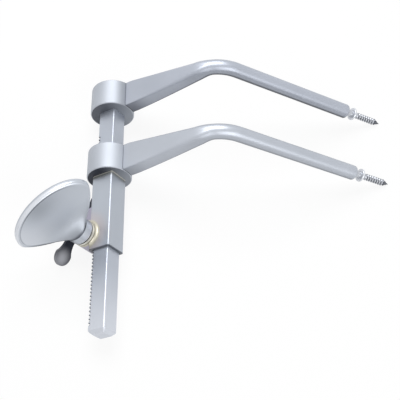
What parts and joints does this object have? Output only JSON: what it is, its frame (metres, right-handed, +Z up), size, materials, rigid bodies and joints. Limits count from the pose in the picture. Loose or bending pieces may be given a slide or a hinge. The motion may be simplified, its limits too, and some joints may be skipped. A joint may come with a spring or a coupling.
{
  "type": "self retaining retractor",
  "caption": "Rack-and-pinion surgical retractor: toothed square bar, fixed and sliding bent arms with screw-ended tubes, thumb key drive and lock lever.",
  "frame": {"origin": "centre of the bottom of the bounding box at rest, on the table", "axes": "+X the way the arms reach, +Y up the bar to the fixed arm, +Z up from the table"},
  "size_m": [0.158, 0.116, 0.0408],
  "materials": {
    "satin_steel": "bead-blasted satin stainless steel",
    "bar_steel": "satin stainless steel with polished edges",
    "polished_steel": "smooth satin stainless steel",
    "screw_steel": "turned stainless steel",
    "tinted_steel": "satin stainless steel with a pale gold heat tint",
    "bearing_bronze": "plain bronze"
  },
  "bodies": {
    "frame": {"rack_bar": "bar_steel", "fixed_collar": "satin_steel", "fixed_arm": "satin_steel", "rack_dowel_pin": "bar_steel"},
    "carriage": {"sliding_collar": "satin_steel", "sliding_arm": "satin_steel", "guide_sleeve": "satin_steel", "gear_housing": "tinted_steel", "front_bush": "bearing_bronze", "rear_bush": "bearing_bronze", "lever_pivot_pin": "bar_steel"},
    "key": {"drive_pinion": "bar_steel", "thumb_key": "polished_steel", "key_cross_pin": "bar_steel", "thrust_washer": "bar_steel"},
    "catch": {"lock_lever": "polished_steel", "lever_spring_washer": "bar_steel"},
    "fixed_bone_screw": {"fixed_screw": "screw_steel"},
    "sliding_bone_screw": {"sliding_screw": "screw_steel"}
  },
  "joints": [
    {"name": "carriage_slide", "type": "slide", "parent": "frame", "child": "carriage", "axis": [0, -1, 0], "range_m": [-0.0192, 0.0304]},
    {"name": "key_turn", "type": "hinge", "parent": "carriage", "child": "key", "pos_m": [-0.0497, -0.015, 0.00579], "axis": [-0.5734, 0, 0.8193], "range_deg": [-360.1, 570.1]},
    {"name": "lock_lever_swing", "type": "hinge", "parent": "carriage", "child": "catch", "pos_m": [-0.05264, -0.0064, 0.00568], "axis": [0.5734, 0, -0.8193], "range_deg": [-3, 5.9]},
    {"name": "fixed_screw_slide", "type": "slide", "parent": "frame", "child": "fixed_bone_screw", "axis": [0.8922, 0, -0.4517], "range_m": [0, 0.02]},
    {"name": "sliding_screw_slide", "type": "slide", "parent": "carriage", "child": "sliding_bone_screw", "axis": [0.8922, 0, -0.4517], "range_m": [0, 0.02]}
  ],
  "couplings": [
    {"joint": "key_turn", "follows": "carriage_slide", "rad_per_m": 327.25}
  ]
}
